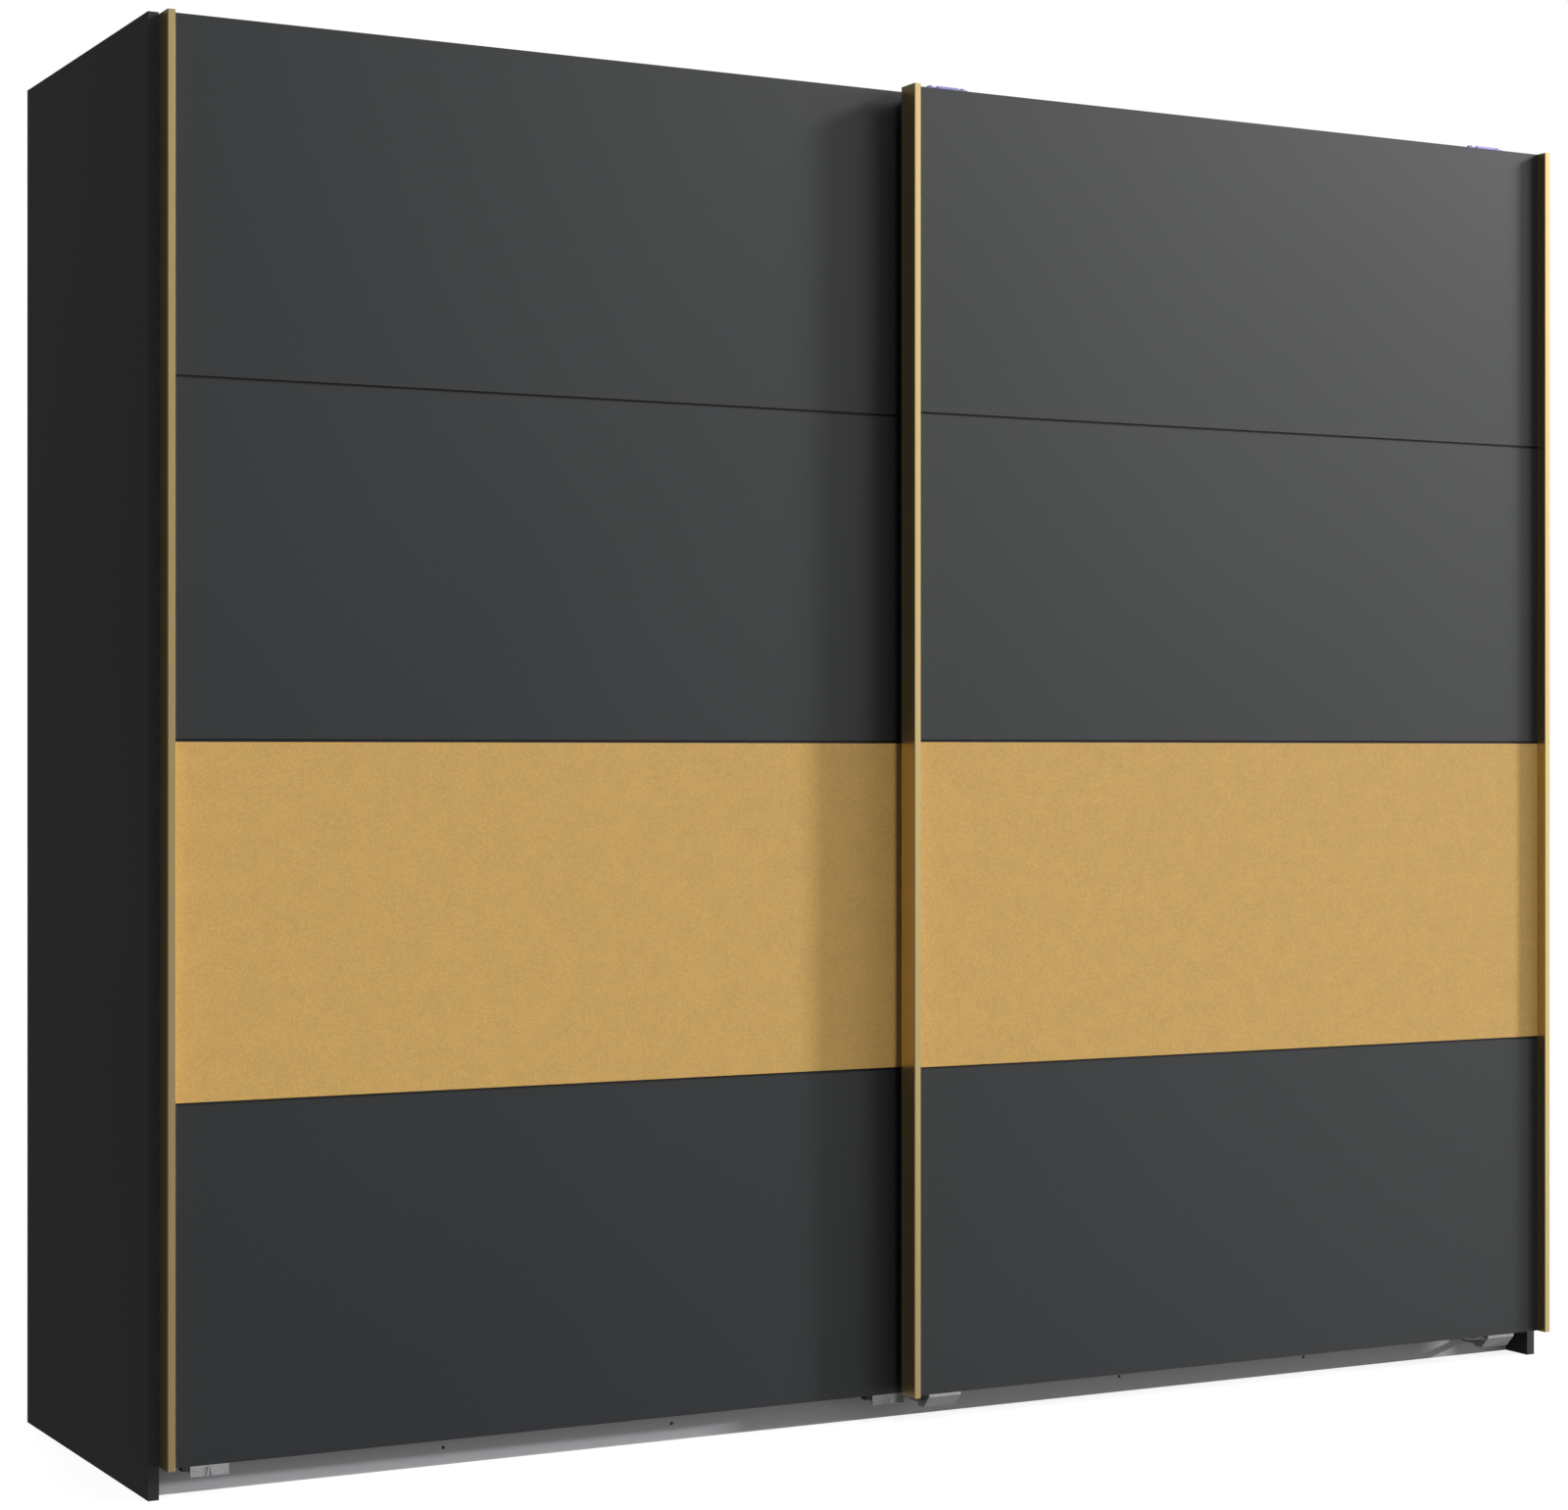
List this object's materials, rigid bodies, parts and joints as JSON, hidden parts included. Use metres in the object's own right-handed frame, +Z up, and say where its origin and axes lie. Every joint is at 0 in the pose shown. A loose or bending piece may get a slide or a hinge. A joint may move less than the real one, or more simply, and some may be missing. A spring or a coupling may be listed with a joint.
{
  "type": "sliding door wardrobe",
  "caption": "Wide graphite wardrobe with overlapping top-hung sliding doors, a gold band across each door, gold upright edge profiles, and hanging rails and hat shelves inside.",
  "frame": {"origin": "on the floor, under the centre of the overall box, which includes the doors' edge profiles", "axes": "+X along the width towards the front door's side, -Y out of the doors, +Z up"},
  "size_m": [2.5, 0.6804, 2.083],
  "materials": {
    "graphite_board": "matt melamine",
    "graphite_door": "satin melamine",
    "graphite_joint": "matt",
    "gold_panel": "satin metallic melamine, finely brushed",
    "gold_profile": "gold anodised, satin",
    "interior_board": "linen-look melamine",
    "plinth_grey": "light grey melamine",
    "hardboard": "painted hardboard",
    "white_plastic": "matt",
    "aluminium_track": "extruded, natural anodised",
    "steel": "zinc plated",
    "blue_zinc": "blue zinc plated",
    "dark_plastic": "matt",
    "roller_plastic": "satin nylon",
    "dark_screw": "blackened",
    "guide_grey": "satin",
    "guide_light": "satin"
  },
  "bodies": {
    "carcass": {"left_side_panel": "graphite_board", "right_side_panel": "graphite_board", "centre_partition": "interior_board", "bottom_board": "interior_board", "top_board": "graphite_board", "plinth_front": "plinth_grey", "plinth_rear": "plinth_grey", "plinth_blocks": "dark_plastic", "back_panel_far_left": "hardboard", "back_panel_left": "hardboard", "back_panel_right": "hardboard", "back_panel_far_right": "hardboard", "back_joiners": "white_plastic", "top_track": "aluminium_track", "track_stops": "dark_plastic", "bottom_guide_rail": "aluminium_track", "hat_shelf_left": "interior_board", "hat_shelf_right": "interior_board", "shelf_pins": "steel", "clothes_rail_left": "steel", "clothes_rail_right": "steel", "rail_sockets": "dark_plastic", "cam_housings": "steel", "cam_bolts": "steel", "carcass_screws": "dark_screw"},
    "left_door": {"left_door_panel_top": "graphite_door", "left_door_panel_upper": "graphite_door", "left_door_panel_gold": "gold_panel", "left_door_panel_bottom": "graphite_door", "left_door_joint_top": "graphite_joint", "left_door_joint_middle": "graphite_joint", "left_door_joint_bottom": "graphite_joint", "left_door_handle_profile": "gold_profile", "left_door_edge_profile": "gold_profile", "left_door_bracket_left": "blue_zinc", "left_door_bracket_right": "blue_zinc", "left_door_axles": "steel", "left_door_guide_left": "guide_grey", "left_door_guide_right": "guide_grey", "left_door_guide_levers": "dark_plastic", "left_door_screws": "dark_screw"},
    "right_door": {"right_door_panel_top": "graphite_door", "right_door_panel_upper": "graphite_door", "right_door_panel_gold": "gold_panel", "right_door_panel_bottom": "graphite_door", "right_door_joint_top": "graphite_joint", "right_door_joint_middle": "graphite_joint", "right_door_joint_bottom": "graphite_joint", "right_door_handle_left": "gold_profile", "right_door_handle_right": "gold_profile", "right_door_bracket_left": "blue_zinc", "right_door_bracket_right": "blue_zinc", "right_door_axles": "steel", "right_door_guide_left": "guide_light", "right_door_guide_right": "guide_light", "right_door_screws": "dark_screw"},
    "left_door_left_roller": {"left_door_roller_left": "roller_plastic"},
    "left_door_right_roller": {"left_door_roller_right": "roller_plastic"},
    "right_door_left_roller": {"right_door_roller_left": "roller_plastic"},
    "right_door_right_roller": {"right_door_roller_right": "roller_plastic"}
  },
  "joints": [
    {"name": "left_door_slide", "type": "slide", "parent": "carcass", "child": "left_door", "axis": [1, 0, 0], "range_m": [0, 1.186]},
    {"name": "right_door_slide", "type": "slide", "parent": "carcass", "child": "right_door", "axis": [1, 0, 0], "range_m": [-1.186, 0]},
    {"name": "left_door_left_roller_turn", "type": "hinge", "parent": "left_door", "child": "left_door_left_roller", "pos_m": [-1.1615, -0.24775, 2.062], "axis": [0, 1, 0], "continuous": true},
    {"name": "left_door_right_roller_turn", "type": "hinge", "parent": "left_door", "child": "left_door_right_roller", "pos_m": [-0.079, -0.24775, 2.062], "axis": [0, 1, 0], "continuous": true},
    {"name": "right_door_left_roller_turn", "type": "hinge", "parent": "right_door", "child": "right_door_left_roller", "pos_m": [0.026, -0.22575, 2.062], "axis": [0, 1, 0], "continuous": true},
    {"name": "right_door_right_roller_turn", "type": "hinge", "parent": "right_door", "child": "right_door_right_roller", "pos_m": [1.1085, -0.22575, 2.062], "axis": [0, 1, 0], "continuous": true}
  ],
  "couplings": [
    {"joint": "left_door_left_roller_turn", "follows": "left_door_slide", "rad_per_m": 105.26},
    {"joint": "left_door_right_roller_turn", "follows": "left_door_slide", "rad_per_m": 105.26},
    {"joint": "right_door_left_roller_turn", "follows": "right_door_slide", "rad_per_m": 105.26},
    {"joint": "right_door_right_roller_turn", "follows": "right_door_slide", "rad_per_m": 105.26}
  ]
}
